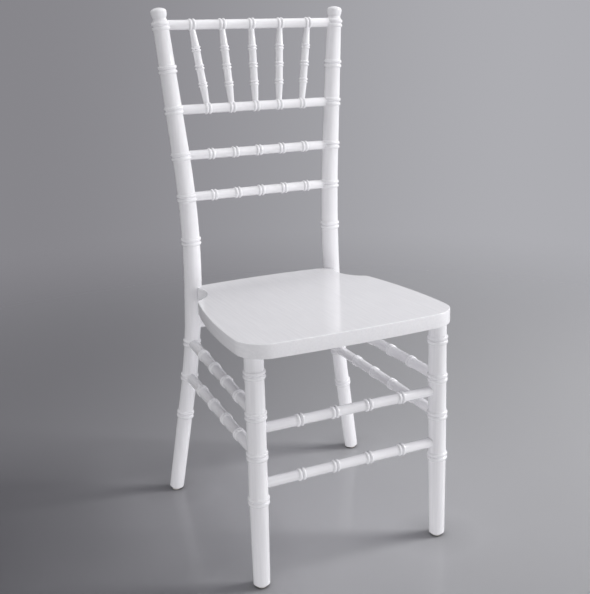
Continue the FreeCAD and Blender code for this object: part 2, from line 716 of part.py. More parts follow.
# Names of a shape's edges that lie level at one height
def level_edges(shape, height):
    names = []
    for number, edge in enumerate(shape.Edges, start=1):
        box = edge.BoundBox
        if abs(box.ZMin - height) < level_margin and abs(box.ZMax - height) < level_margin:
            names.append("Edge%d" % number)
    return names


# The finial from the crest beads up: a cone down to the neck, then the knob and its crown
finial_length = (size.finial_rise + size.crest_bead_drop) / back_way.z - bead_reach


def finial_outline():
    knob, neck = size.finial_diameter / 2, size.finial_neck_diameter / 2
    widen = knob - neck
    swell_bend = (widen * widen + size.finial_swell * size.finial_swell) / (widen * 2)
    crown_bend = (knob * knob + size.finial_crown * size.finial_crown) / (size.finial_crown * 2)
    return [(0, 0, None), (size.post_top_diameter / 2, 0, None), (neck, size.finial_flare, swell_bend),
            (knob, size.finial_flare + size.finial_swell, None),
            (knob, finial_length - size.finial_crown, crown_bend), (0, finial_length, None)]


def finial(side, side_name):
    name = "finial_" + side_name
    point, way = post_axis(crest_bead_height)
    base = on_side(point + way * bead_reach.value, side)
    body = turned(name, finial_outline(), along(base, base + on_side(way, side)))
    doc.recompute()
    knob = body.Tip
    rims = level_edges(knob.Shape, (finial_length - size.finial_crown).value)
    rounding = body.newObject("PartDesign::Fillet", name + "_rounding")
    rounding.Base = (knob, rims)
    rounding.Radius = mm.finial_edge_radius
    bind(rounding, "Radius", size.finial_edge_radius)
    body.Tip = rounding
    return body


right_post = bent_post()
for side, side_name in ((-1, "left"), (1, "right")):
    name = "rear_post_" + side_name
    bent = doc.addObject("Part::Feature", name + "_bent")
    bent.Shape = right_post if side > 0 else right_post.mirror(Vector(0, 0, 0), Vector(1, 0, 0))
    blank = doc.addObject("Part::MultiFuse", name + "_blank")
    blank.Shapes = [bent, finial(side, side_name)]
    drills = bore_drills(name, size.post_knee_diameter) + foot_drills(name, on_side(foot_point, side))
    pieces[name] = cut(name, blank, drills + bolt_drills(name, side))


# Seat: half its plan is padded and mirrored, the edges are eased, and the posts, legs and bolts let in

def circle_meeting(centre_a, radius_a, centre_b, radius_b, left):
    gap = (centre_b - centre_a).Length
    along_line = (radius_a ** 2 - radius_b ** 2 + gap ** 2) / (2 * gap)
    offset = math.sqrt(radius_a ** 2 - along_line ** 2)
    line = (centre_b - centre_a).normalize()
    across = Vector(-line.y, line.x, 0) * (offset if left else -offset)
    return centre_a + line * along_line + across


def arc_between(centre, start, end):
    radius = (start - centre).Length
    middle = centre + ((start - centre).normalize() + (end - centre).normalize()).normalize() * radius
    return Part.Arc(start, middle, end)


def seat_body():
    body = doc.addObject("PartDesign::Body", "seat_blank")
    sketch = body.newObject("Sketcher::SketchObject", "seat_plan")
    sketch.AttachmentSupport = [(origin_plane(body, "XY_Plane"), "")]
    sketch.MapMode = "FlatFace"

    # Plan of the right half, tangent arcs from the front's middle round to the rear's middle
    post_x, post_y = post_at_seat.x, post_at_seat.y
    post_r = mm.post_knee_diameter / 2
    front_centre = Vector(0, seat_front + mm.seat_front_radius, 0)
    side_centre = Vector(half_seat - mm.seat_side_radius, seat_front + mm.seat_widest_setback, 0)
    corner_centre = circle_meeting(front_centre, mm.seat_front_radius - mm.seat_corner_radius,
                                   side_centre, mm.seat_side_radius - mm.seat_corner_radius, True)
    waist_x = post_x - mm.seat_waist_inset + mm.seat_waist_radius
    waist_centre = Vector(waist_x, post_y - mm.seat_waist_setback, 0)
    shoulder_centre = circle_meeting(side_centre, mm.seat_side_radius - mm.seat_shoulder_radius,
                                     waist_centre, mm.seat_waist_radius + mm.seat_shoulder_radius, False)
    tail_y = post_y + mm.seat_tail
    tail_centre = Vector(0, tail_y - mm.seat_tail_radius, 0)

    def away(origin, towards, radius):
        return origin + (towards - origin).normalize() * radius

    front = Vector(0, seat_front, 0)
    corner_start = away(front_centre, corner_centre, mm.seat_front_radius)
    corner_end = away(side_centre, corner_centre, mm.seat_side_radius)
    shoulder_start = away(side_centre, shoulder_centre, mm.seat_side_radius)
    shoulder_end = away(waist_centre, shoulder_centre, mm.seat_waist_radius)
    notch_y = post_y - post_r * notch_share
    waist_reach = math.sqrt(mm.seat_waist_radius ** 2 - (notch_y - waist_centre.y) ** 2)
    notch_front = Vector(waist_centre.x - waist_reach, notch_y, 0)
    notch_x = post_x - post_r * notch_share
    notch_rear = Vector(notch_x, tail_centre.y + math.sqrt(mm.seat_tail_radius ** 2 - notch_x ** 2), 0)
    tail = Vector(0, tail_y, 0)
    edges = [arc_between(front_centre, front, corner_start),
             arc_between(corner_centre, corner_start, corner_end),
             arc_between(side_centre, corner_end, shoulder_start),
             arc_between(shoulder_centre, shoulder_start, shoulder_end),
             arc_between(waist_centre, notch_front, shoulder_end),
             Part.LineSegment(notch_front, notch_rear),
             arc_between(tail_centre, notch_rear, tail),
             Part.LineSegment(tail, front)]
    sketch.addGeometry(edges, False)

    def same(first, first_end, second, second_end):
        sketch.addConstraint(Sketcher.Constraint("Coincident", first, first_end, second, second_end))

    def tangent(first, first_end, second, second_end):
        sketch.addConstraint(Sketcher.Constraint("Tangent", first, first_end, second, second_end))

    def on_axis(edge, spot, axis):
        sketch.addConstraint(Sketcher.Constraint("PointOnObject", edge, spot, axis))

    def radius(edge, length):
        number = sketch.addConstraint(Sketcher.Constraint("Radius", edge, value_of(length)))
        bind(sketch, "Constraints[%d]" % number, length)

    def distance(kind, from_edge, from_spot, to_edge, to_spot, length):
        number = sketch.addConstraint(Sketcher.Constraint(kind, from_edge, from_spot, to_edge, to_spot,
                                                          value_of(length)))
        bind(sketch, "Constraints[%d]" % number, length)

    tangent(0, 2, 1, 1)
    tangent(1, 2, 2, 1)
    tangent(2, 2, 3, 1)
    tangent(3, 2, 4, 2)
    same(4, 1, 5, 1)
    same(5, 2, 6, 1)
    same(6, 2, 7, 1)
    same(7, 2, 0, 1)
    on_axis(0, 1, -2)
    on_axis(0, 3, -2)
    on_axis(6, 2, -2)
    on_axis(6, 3, -2)
    radius(0, size.seat_front_radius)
    radius(1, size.seat_corner_radius)
    radius(2, size.seat_side_radius)
    radius(3, size.seat_shoulder_radius)
    radius(4, size.seat_waist_radius)
    radius(6, size.seat_tail_radius)
    half_depth = (size.seat_depth + size.back_recline + size.finial_diameter / 2) / 2
    distance("DistanceY", 0, 1, -1, 1, half_depth)
    distance("DistanceX", 2, 3, -1, 1, size.seat_side_radius - size.seat_width / 2)
    distance("DistanceY", 2, 3, -1, 1, half_depth - size.seat_widest_setback)
    distance("DistanceX", -1, 1, 4, 3, Length(waist_centre.x))
    distance("DistanceY", -1, 1, 4, 3, Length(waist_centre.y))
    distance("DistanceY", -1, 1, 5, 1, Length(notch_y))
    distance("DistanceX", -1, 1, 5, 2, Length(notch_x))
    distance("DistanceY", -1, 1, 6, 2, Length(tail_y))

    pad = body.newObject("PartDesign::Pad", "seat_half")
    pad.Profile = sketch
    pad.Length = mm.seat_thickness
    bind(pad, "Length", size.seat_thickness)
    pad.Reversed = True
    whole = body.newObject("PartDesign::Mirrored", "seat_whole")
    whole.Originals = [pad]
    whole.MirrorPlane = (origin_plane(body, "YZ_Plane"), [""])
    body.Tip = whole
    doc.recompute()

    # Edges of the upper and lower faces
    def ease(base, label, height, length):
        fillet = body.newObject("PartDesign::Fillet", label)
        fillet.Base = (base, level_edges(base.Shape, height))
        fillet.Radius = value_of(length)
        bind(fillet, "Radius", length)
        doc.recompute()
        return fillet

    upper = ease(whole, "seat_upper_edge", 0, size.seat_edge_radius)
    lower = ease(upper, "seat_lower_edge", -mm.seat_thickness, size.seat_under_radius)
    body.Tip = lower
    body.Placement = FreeCAD.Placement(seat_middle, seat_turn)
    return body


seat_drills = bore_drills("seat_panel", size.seat_thickness)
for side, side_name in ((-1, "left"), (1, "right")):
    middle = on_side(post_at_seat, side)
    way = on_side(post_direction, side)
    seat_drills.append(cylinder("seat_notch_" + side_name, size.post_knee_diameter + size.fit_gap * 4,
                                size.seat_thickness * 4, along(middle - way * (mm.seat_thickness * 2), middle)))
    seat_drills += bolt_drills("seat_" + side_name, side)
pieces["seat_panel"] = cut("seat_panel", seat_body(), seat_drills)


# Foot glides: a nylon disc moulded round the head of its nail

def glide(foot, name):
    floor_spot = Vector(foot.x, foot.y, 0)
    disc = cylinder(name + "_disc", size.glide_diameter, size.glide_thickness,
                    along(floor_spot, floor_spot + Vector(0, 0, 1)))
    nail = cylinder(name + "_nail", size.nail_diameter, size.glide_thickness + size.nail_length,
                    along(floor_spot, floor_spot + Vector(0, 0, 1)))
    piece = doc.addObject("Part::MultiFuse", name)
    piece.Shapes = [disc, nail]
    return piece


for end_name, foot in (("front", leg_foot), ("rear", foot_point)):
    for side, side_name in ((-1, "left"), (1, "right")):
        name = "foot_glide_%s_%s" % (end_name, side_name)
        pieces[name] = glide(on_side(foot, side), name)


# Labels, checks and files

for name, piece in pieces.items():
    piece.Label = name
doc.recompute()

for item in doc.Objects:
    if "Invalid" in item.State or "Error" in item.State:
        raise RuntimeError("%s could not be made: %s" % (item.Label, item.State))
for name, piece in pieces.items():
    shape = piece.Shape
    if shape.isNull() or not shape.isValid() or len(shape.Solids) != 1:
        raise RuntimeError("%s is not one valid solid" % name)

os.makedirs("parts", exist_ok=True)
for name, piece in pieces.items():
    piece.Shape.exportStep("parts/%s.step" % name)
    box = piece.Shape.BoundBox
    print("%-28s x %7.1f %7.1f  y %7.1f %7.1f  z %6.1f %6.1f  volume %9.0f" % (
        name, box.XMin, box.XMax, box.YMin, box.YMax, box.ZMin, box.ZMax, piece.Shape.Volume))
print("%d pieces" % len(pieces))
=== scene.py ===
import bpy
import bmesh
import math
from mathutils import Matrix, Vector


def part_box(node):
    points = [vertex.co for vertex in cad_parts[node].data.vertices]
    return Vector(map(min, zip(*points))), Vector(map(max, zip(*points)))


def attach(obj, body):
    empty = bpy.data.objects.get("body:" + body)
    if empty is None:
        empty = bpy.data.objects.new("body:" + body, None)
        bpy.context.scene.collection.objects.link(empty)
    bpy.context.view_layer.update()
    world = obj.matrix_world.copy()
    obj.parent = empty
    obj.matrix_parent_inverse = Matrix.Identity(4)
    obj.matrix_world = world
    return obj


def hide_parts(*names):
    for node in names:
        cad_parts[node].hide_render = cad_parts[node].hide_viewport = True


# White lacquered chiavari chair. Every wooden piece is turned or cut here as one smooth mesh in the place
# of its CAD node. Bolts, nuts and glides stay CAD nodes and get their metal and nylon.
# Pieces are drawn in millimetres and brought to metres when they are finished.

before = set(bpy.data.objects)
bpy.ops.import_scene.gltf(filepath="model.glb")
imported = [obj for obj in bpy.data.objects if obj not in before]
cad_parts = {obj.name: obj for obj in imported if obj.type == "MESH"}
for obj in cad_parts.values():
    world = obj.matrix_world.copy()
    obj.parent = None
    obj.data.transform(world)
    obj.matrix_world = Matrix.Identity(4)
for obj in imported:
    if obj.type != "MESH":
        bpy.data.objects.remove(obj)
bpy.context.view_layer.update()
mm = 0.001
sides = ((-1, "left"), (1, "right"))


def nodeCorners(node):      # lowest and highest corner of a CAD node, in millimetres
    low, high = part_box(node)
    return low / mm, high / mm


def nodeMiddle(node):
    low, high = nodeCorners(node)
    return (low + high) / 2


def onSide(point, side):
    return Vector((point.x * side, point.y, point.z))


# Materials

def linear(hexColour):      # sRGB hex to linear light
    channels = [int(hexColour[digit:digit + 2], 16) / 255 for digit in (1, 3, 5)]
    return [c / 12.92 if c <= 0.04045 else ((c + 0.055) / 1.055) ** 2.4 for c in channels] + [1]


def addNode(tree, kind, settings=None, links=None):
    node = tree.nodes.new(kind)
    for name, value in (settings or {}).items():
        if isinstance(name, int) or name in node.inputs:
            node.inputs[name].default_value = value
        else:
            setattr(node, name, value)
    for name, source in (links or {}).items():
        tree.links.new(source, node.inputs[name])
    return node


def newMaterial(name):
    material = bpy.data.materials.new(name)
    material.use_nodes = True
    material.node_tree.nodes.clear()
    return material, material.node_tree


lacquerLook = {
    "colour": "#F8F7FA",
    "grainColour": "#E6E5E9",       # where the beech's grain telegraphs through
    "roughness": 0.11,
    "roughnessSpread": 0.03,
    "grainWidth": 3.5,              # mm across the grain
    "grainLength": 140.0,           # mm along it
    "peelSize": 5.0,                # mm, orange peel drawn coarser than the real 1 mm so that it shows
    "peelDepth": 0.015,             # mm
    "ior": 1.5,
    "waveSize": 45.0,               # mm, slow waves left by hand sanding
    "waveDepth": 0.08,              # mm
}


# Polyurethane lacquer sprayed on sanded beech: a bright semi-gloss skin with faint grain, orange peel and
# slow waves that break up its reflections. The turn lays the grain along the piece.
def sprayedLacquerOnBeech(name, grainTurn):
    look = lacquerLook
    material, tree = newMaterial(name)
    coords = addNode(tree, "ShaderNodeTexCoord").outputs["Object"]
    along = addNode(tree, "ShaderNodeMapping", {"Rotation": grainTurn}, {"Vector": coords})
    across = 1 / (look["grainWidth"] * mm)
    grainScale = (across, across, 1 / (look["grainLength"] * mm))
    stretched = addNode(tree, "ShaderNodeMapping", {"Scale": grainScale},
                        {"Vector": along.outputs["Vector"]})
    grain = addNode(tree, "ShaderNodeTexNoise", {"Scale": 1.0, "Detail": 4.0, "Roughness": 0.6},
                    {"Vector": stretched.outputs["Vector"]})
    tint = addNode(tree, "ShaderNodeMixRGB",
                   {"Color1": linear(look["colour"]), "Color2": linear(look["grainColour"])},
                   {"Fac": grain.outputs["Fac"]})
    wave = addNode(tree, "ShaderNodeTexNoise", {"Scale": 1 / (look["waveSize"] * mm), "Detail": 1.0},
                   {"Vector": coords})
    peel = addNode(tree, "ShaderNodeTexNoise", {"Scale": 1 / (look["peelSize"] * mm), "Detail": 2.0},
                   {"Vector": coords})
    gloss = addNode(tree, "ShaderNodeMapRange",
                    {"To Min": look["roughness"] - look["roughnessSpread"],
                     "To Max": look["roughness"] + look["roughnessSpread"]},
                    {"Value": wave.outputs["Fac"]})
    waveBump = addNode(tree, "ShaderNodeBump", {"Distance": look["waveDepth"] * mm},
                       {"Height": wave.outputs["Fac"]})
    peelBump = addNode(tree, "ShaderNodeBump", {"Distance": look["peelDepth"] * mm},
                       {"Height": peel.outputs["Fac"], "Normal": waveBump.outputs["Normal"]})
    shader = addNode(tree, "ShaderNodeBsdfPrincipled", {"IOR": look["ior"]},
                     {"Base Color": tint.outputs["Color"], "Roughness": gloss.outputs["Result"],
                      "Normal": peelBump.outputs["Normal"]})
    addNode(tree, "ShaderNodeOutputMaterial", {}, {"Surface": shader.outputs["BSDF"]})
    return material


zincLook = {
    "colour": "#C9CBCB",
    "dullColour": "#A9ABA8",
    "roughness": 0.34,
    "roughnessSpread": 0.1,
    "spangleSize": 2.5,             # mm, cloudy patches of the plating
    "toolMark": 0.35,               # mm between turning marks
    "toolDepth": 0.01,              # mm
}


# Zinc-plated steel, turned and barrel-plated: cool grey metal, cloudy, with fine turning marks
def barrelPlatedZincOnSteel():
    look = zincLook
    material, tree = newMaterial("barrelPlatedZincOnSteel")
    coords = addNode(tree, "ShaderNodeTexCoord").outputs["Object"]
    cloud = addNode(tree, "ShaderNodeTexNoise", {"Scale": 1 / (look["spangleSize"] * mm), "Detail": 3.0},
                    {"Vector": coords})
    tint = addNode(tree, "ShaderNodeMixRGB",
                   {"Color1": linear(look["colour"]), "Color2": linear(look["dullColour"])},
                   {"Fac": cloud.outputs["Fac"]})
    gloss = addNode(tree, "ShaderNodeMapRange",
                    {"To Min": look["roughness"] - look["roughnessSpread"],
                     "To Max": look["roughness"] + look["roughnessSpread"]},
                    {"Value": cloud.outputs["Fac"]})
    marks = addNode(tree, "ShaderNodeTexWave", {"Scale": 1 / (look["toolMark"] * mm), "Distortion": 2.0},
                    {"Vector": coords})
    bump = addNode(tree, "ShaderNodeBump", {"Distance": look["toolDepth"] * mm},
                   {"Height": marks.outputs["Fac"]})
    shader = addNode(tree, "ShaderNodeBsdfPrincipled", {"Metallic": 1.0},
                     {"Base Color": tint.outputs["Color"], "Roughness": gloss.outputs["Result"],
                      "Normal": bump.outputs["Normal"]})
    addNode(tree, "ShaderNodeOutputMaterial", {}, {"Surface": shader.outputs["BSDF"]})
    return material


nylonLook = {
    "colour": "#D6D3CB",
    "scuffColour": "#B9B5AB",
    "roughness": 0.48,
    "scuffSize": 3.0,               # mm
    "grainSize": 0.6,               # mm, fine mould texture
    "grainDepth": 0.02,             # mm
    "ior": 1.53,
    "milkiness": 0.1,               # how much of its light comes from inside it
    "milkDepth": 1.0,               # mm
}


# Nylon, injection moulded: milky off-white, matt, scuffed grey by the floor
def mouldedNylon():
    look = nylonLook
    material, tree = newMaterial("mouldedNylon")
    coords = addNode(tree, "ShaderNodeTexCoord").outputs["Object"]
    scuff = addNode(tree, "ShaderNodeTexNoise", {"Scale": 1 / (look["scuffSize"] * mm), "Detail": 5.0},
                    {"Vector": coords})
    tint = addNode(tree, "ShaderNodeMixRGB",
                   {"Color1": linear(look["colour"]), "Color2": linear(look["scuffColour"])},
                   {"Fac": scuff.outputs["Fac"]})
    texture = addNode(tree, "ShaderNodeTexNoise", {"Scale": 1 / (look["grainSize"] * mm)},
                      {"Vector": coords})
    bump = addNode(tree, "ShaderNodeBump", {"Distance": look["grainDepth"] * mm},
                   {"Height": texture.outputs["Fac"]})
    shader = addNode(tree, "ShaderNodeBsdfPrincipled",
                     {"Roughness": look["roughness"], "IOR": look["ior"],
                      "Subsurface Weight": look["milkiness"], "Subsurface Scale": look["milkDepth"] * mm},
                     {"Base Color": tint.outputs["Color"], "Normal": bump.outputs["Normal"]})
    addNode(tree, "ShaderNodeOutputMaterial", {}, {"Surface": shader.outputs["BSDF"]})
    return material


def finishNodes(kinds, material):       # gives the CAD nodes that stay their finish
    for name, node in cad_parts.items():
        if name.startswith(kinds):
            for slot in node.material_slots:
                slot.link = "OBJECT"
                slot.material = material


quarter = math.pi / 2
lacquerUpright = sprayedLacquerOnBeech("sprayedLacquerOnBeechUpright", (0, 0, 0))
lacquerAcross = sprayedLacquerOnBeech("sprayedLacquerOnBeechAcross", (0, quarter, 0))
lacquerLengthways = sprayedLacquerOnBeech("sprayedLacquerOnBeechLengthways", (quarter, 0, 0))
finishNodes(("post_bolt", "barrel_nut"), barrelPlatedZincOnSteel())
finishNodes(("foot_glide",), mouldedNylon())
print("materials")


# Drawing and turning

quality = {
    "postSteps": 64,            # faces round a post or a leg
    "rodSteps": 48,             # faces round a rail, stretcher or spindle
    "arcSteps": 8,              # along a bead or another arc of an outline
    "easingSteps": 2,           # across a corner of an outline
    "sharpAngle": 40,           # degrees, edges above this stay crisp
    "merge": 0.001,             # mm
}
pool = 0.35                     # mm, lacquer pooled in the corner beside a bead
poolShare = 0.9                 # of half the gap between two beads, at most
softened = 0.5                  # mm, sanding on an outer corner


# Arc that swings the pen round a centre to its end
def swing(bm, pen, centre, end, steps):
    start, stop = pen.co - centre, end - centre
    result = bmesh.ops.spin(bm, geom=[pen], cent=centre, axis=start.cross(stop).normalized(),
                            angle=start.angle(stop), steps=steps)
    return [item for item in result["geom_last"] if isinstance(item, bmesh.types.BMVert)][0]


def drawLine(bm, pen, end):
    pen = bmesh.ops.extrude_vert_indiv(bm, verts=[pen])["verts"][0]
    pen.co = end
    return pen


# Half outline of a turned piece, from the axis at its lower end to the axis at its upper end. A corner is
# (radius, place, bend, easing): a bend is the radius of the arc that leads to the next corner, and the
# easing rounds the corner itself.
def drawOutline(bm, outline):
    pen = bm.verts.new((outline[0][0], 0, outline[0][1]))
    eased = []
    for (_, _, bend, _), (endRadius, endPlace, _, easing) in zip(outline, outline[1:]):
        end = Vector((endRadius, 0, endPlace))
        if bend:
            chord = end - pen.co
            outward = Vector((chord.z, 0, -chord.x)).normalized()
            centre = (pen.co + end) / 2 - outward * math.sqrt(bend ** 2 - chord.length_squared / 4)
            pen = swing(bm, pen, centre, end, quality["arcSteps"])
        else:
            pen = drawLine(bm, pen, end)
        if easing:
            eased.append((pen, easing))
    for easing in sorted(set(size for _, size in eased)):
        bmesh.ops.bevel(bm, geom=[vert for vert, size in eased if size == easing], affect="VERTICES",
                        offset=easing, segments=quality["easingSteps"], profile=0.5, material=-1)


# Outline turned once round Z and closed at both poles
def turn(outline, steps):
    bm = bmesh.new()
    drawOutline(bm, outline)
    bmesh.ops.spin(bm, geom=bm.verts[:] + bm.edges[:], cent=(0, 0, 0), axis=(0, 0, 1), angle=math.tau,
                   steps=steps, use_merge=True)
    bmesh.ops.remove_doubles(bm, verts=bm.verts, dist=quality["merge"])
    bmesh.ops.recalc_face_normals(bm, faces=bm.faces)
    return bm


def place(bm, start, end):      # Z of the drawing comes to run from one point towards another
    facing = (end - start).to_track_quat("Z", "Y").to_matrix().to_4x4()
    bmesh.ops.transform(bm, matrix=Matrix.Translation(start) @ facing, verts=bm.verts)
    return bm


# Two beads side by side, with lacquer pooled beside and between them
def beadPair(centre, radius, beads):
    bend = (beads["width"] ** 2 / 4 + beads["rise"] ** 2) / (beads["rise"] * 2)
    half = beads["gap"] / 2
    between = min(pool, half * poolShare)
    return [(radius, centre - half - beads["width"], bend, pool), (radius, centre - half, None, between),
            (radius, centre + half, bend, between), (radius, centre + half + beads["width"], None, pool)]


def meshOf(name, bm):
    mesh = bpy.data.meshes.new(name)
    bm.to_mesh(mesh)
    bm.free()
    return mesh


# Takes the cutters' shapes out of a piece
def carve(piece, cutters):
    drills = []
    for bm in cutters:
        bmesh.ops.scale(bm, vec=(mm, mm, mm), verts=bm.verts)
        drill = bpy.data.objects.new("drill", meshOf("drill", bm))
        bpy.context.scene.collection.objects.link(drill)
        modifier = piece.modifiers.new("drill", "BOOLEAN")
        modifier.operation = "DIFFERENCE"
        modifier.solver = "EXACT"
        modifier.object = drill
        drills.append(drill)
    bpy.context.view_layer.update()
    carved = bpy.data.meshes.new_from_object(piece.evaluated_get(bpy.context.evaluated_depsgraph_get()))
    piece.modifiers.clear()
    piece.data = carved
    for drill in drills:
        bpy.data.objects.remove(drill)


# The finished mesh as an object that rides on the chair and stands for its CAD node
def finish(name, bm, material, cutters=()):
    bmesh.ops.scale(bm, vec=(mm, mm, mm), verts=bm.verts)
    label = name + "_lacquered"
    piece = bpy.data.objects.new(label, meshOf(label, bm))
    bpy.context.scene.collection.objects.link(piece)
    if cutters:
        carve(piece, cutters)
    piece.data.polygons.foreach_set("use_smooth", [True] * len(piece.data.polygons))
    piece.data.set_sharp_from_angle(angle=math.radians(quality["sharpAngle"]))
    piece.data.materials.clear()
    piece.data.materials.append(material)
    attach(piece, "root")
    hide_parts(name)


def cylinder(radius, start, end):
    bm = bmesh.new()
    depth = (end - start).length
    bmesh.ops.create_cone(bm, cap_ends=True, segments=quality["postSteps"], radius1=radius,
                          radius2=radius, depth=depth)
    bmesh.ops.translate(bm, vec=(0, 0, depth / 2), verts=bm.verts)
    return place(bm, start, end)


# Sizes of the turned pieces, in millimetres

postBeads = {"width": 7.2, "rise": 2.4, "gap": 0.6}
rail = {
    "diameter": 17.0,
    "beads": {"width": 5.4, "rise": 2.1, "gap": 1.4},
    "pairs": 5,
    "pitch": 46.6,
    "crestPitch": 56.1,         # on the crest rail, where the spindles fan out
}
stretcher = {
    "diameter": 17.6,
    "beads": {"width": 6.0, "rise": 2.2, "gap": 1.2},
    "pairs": 4,
    "pitch": 62.9,
}
sideStretcher = {               # its shaft and beads as the photograph shows them
    "diameter": 18.2,
    "beads": {"width": 6.0, "rise": 1.8, "gap": 1.2},
    "pairs": 4,
    "pitch": 67.3,
}
tenon = {"diameter": 11.0, "length": 12.0, "chamfer": 0.8, "shoulderMargin": 0.4}
glideThickness = 2.0

# Seat's sizes, which the posts and legs follow

seat = {
    "width": 387.0,
    "depthToKnee": 390.6,       # from the front edge to where the posts bend
    "frontHeight": 433.2,
    "thickness": 24.4,
    "rake": 2.4,                # degrees that it falls to the rear
    "frontRadius": 2570.0,
    "cornerRadius": 51.0,
    "sideRadius": 1055.0,
    "widestSetback": 75.8,      # from the front edge
    "shoulderRadius": 17.0,
    "waistRadius": 70.0,        # hollow in front of a post
    "waistInset": 10.0,         # from the post's axis to the hollow's innermost point
    "waistSetback": 42.0,       # from the post's axis forward to the hollow's middle
    "tail": 6.2,                # behind the posts' axes
    "tailRadius": 1100.0,
    "cornerKept": 0.85,         # of the post's radius, a corner that the notch takes off again
    "upperEasing": 1.5,
    "lowerEasing": 1.5,
    "easingSteps": 4,
    "rim": 1.5,                 # flat border that keeps the broad faces even
    "notchGap": 0.16,
    "nutRadius": 5.08,
    "nutSetback": 42.0,
    "nutLength": 14.0,
    "nutRoom": 0.6,             # over the nut's upper end
}
planSteps = {"front": 6, "corner": 18, "side": 14, "shoulder": 10, "waist": 10, "tail": 8}
kneeY = 170.4                   # where the posts bend, behind the chair's middle
seatFront = kneeY - seat["depthToKnee"]
seatTurn = Matrix.Rotation(-math.radians(seat["rake"]), 3, "X")
seatNormal = seatTurn @ Vector((0, 0, 1))


def seatTopAt(y):
    return seat["frontHeight"] - (y - seatFront) * math.tan(math.radians(seat["rake"]))


# Levels of the rails and stretchers, each from a side that no spindle is let into
railReach = rail["diameter"] / 2 + rail["beads"]["rise"]
level = {
    "crest": nodeCorners("crest_rail")[1].z - railReach,
    "spindles": nodeCorners("spindle_rail")[0].z + railReach,
    "backUpper": nodeMiddle("back_rail_upper").z,
    "backLower": nodeMiddle("back_rail_lower").z,
    "rear": nodeMiddle("rear_stretcher").z,
    "sideUpper": nodeMiddle("side_stretcher_right_upper").z,
    "sideLower": nodeMiddle("side_stretcher_right_lower").z,
    "frontUpper": nodeMiddle("front_stretcher_upper").z,
    "frontLower": nodeMiddle("front_stretcher_lower").z,
    "seatTop": seatTopAt(kneeY),
}
level["seatUnderside"] = level["seatTop"] - seat["thickness"]

# Pairs of beads on the posts and legs that stand at no rail or stretcher
freeBeads = {
    "overSeat": 86.5,
    "underCrest": 74.9,         # beside the middle of the spindles
    "besideCrest": 1.5,         # at the crest rail, a little under its axis
    "underStretchers": 26.7,    # on the front legs
    "ankleRise": 2.2,           # and on the rear posts, so much higher
}
level["seatBeads"] = level["seatTop"] + freeBeads["overSeat"]
level["midBeads"] = level["crest"] - freeBeads["underCrest"]
level["crestBeads"] = level["crest"] - freeBeads["besideCrest"]
level["footBeads"] = level["frontLower"] - freeBeads["underStretchers"]
level["ankleBeads"] = level["footBeads"] + freeBeads["ankleRise"]


def footPoint(end):         # middle of the right foot at that end of the chair, on the floor
    point = nodeMiddle("foot_glide_%s_right" % end)
    return Vector((point.x, point.y, 0))


# Rear posts

rearPost = {
    "kneeX": 131.0,             # where leg and back would meet without the bend
    "kneeRise": 7.1,            # and that point over the seat
    "backSplay": 39.1,          # outwards, from the knee to the top
    "backRecline": 35.9,        # backwards, from the knee to the top
    "bendRadius": 1690.0,
    "footDiameter": 27.2,
    "ankleDiameter": 28.4,
    "shinDiameter": 29.2,
    "kneeDiameter": 32.5,
    "backDiameter": 31.5,
    "topDiameter": 27.5,
    "footChamfer": 6.0,
    "ringStep": 20.0,           # between rings on the plain lengths
}
finial = {
    "rise": 29.3,               # over the crest rail's axis
    "diameter": 27.8,
    "neckDiameter": 22.6,
    "flare": 4.8,               # height of the cone under the neck
    "swell": 10.2,              # height from the neck to the knob's widest
    "crown": 4.6,               # height of the domed top
    "rim": 5.0,                 # radius between knob and crown
    "neckEasing": 1.0,
}

rearFoot = footPoint("rear")
knee = Vector((rearPost["kneeX"], kneeY, level["seatTop"] + rearPost["kneeRise"]))
postTop = level["crest"] + finial["rise"]
topPoint = Vector((knee.x + rearPost["backSplay"], knee.y + rearPost["backRecline"], postTop))
legWay = (knee - rearFoot).normalized()
backWay = (topPoint - knee).normalized()
bendAngle = legWay.angle(backWay)
bendFrom = (knee - rearFoot).length - rearPost["bendRadius"] * math.tan(bendAngle / 2)
bendTo = bendFrom + rearPost["bendRadius"] * bendAngle
inward = (backWay - legWay * legWay.dot(backWay)).normalized()
sideways = legWay.cross(inward)


# Point on the right post's axis and the way it runs there: a straight leg, an arc and a straight back
def postAxis(distance):
    if distance <= bendFrom:
        return rearFoot + legWay * distance, legWay
    angle = min((distance - bendFrom) / rearPost["bendRadius"], bendAngle)
    way = legWay * math.cos(angle) + inward * math.sin(angle)
    arm = legWay * math.sin(angle) + inward * (1 - math.cos(angle))
    point = rearFoot + legWay * bendFrom + arm * rearPost["bendRadius"]
    return point + way * max(distance - bendTo, 0), way


def alongPost(height):      # distance along the axis at which it reaches a height
    low, high = 0.0, postTop * 2
    while high - low > quality["merge"]:
        middle = (low + high) / 2
        if postAxis(middle)[0].z < height:
            low = middle
        else:
            high = middle
    return low


def onPost(height):
    return postAxis(alongPost(height))[0]


# The post swells from its foot to the seat and tapers up the back
postTaper = [
    (level["ankleBeads"], rearPost["ankleDiameter"]),
    (level["sideUpper"], rearPost["shinDiameter"]),
    (level["seatUnderside"], rearPost["kneeDiameter"]),
    (level["seatBeads"], rearPost["kneeDiameter"]),
    (level["backUpper"], rearPost["backDiameter"]),
    (level["crestBeads"], rearPost["topDiameter"]),
]


def postRadius(height):
    for (low, lowDiameter), (high, highDiameter) in zip(postTaper, postTaper[1:]):
        if height <= high:
            share = max(height - low, 0) / (high - low)
            return (lowDiameter + (highDiameter - lowDiameter) * share) / 2
    return postTaper[-1][1] / 2


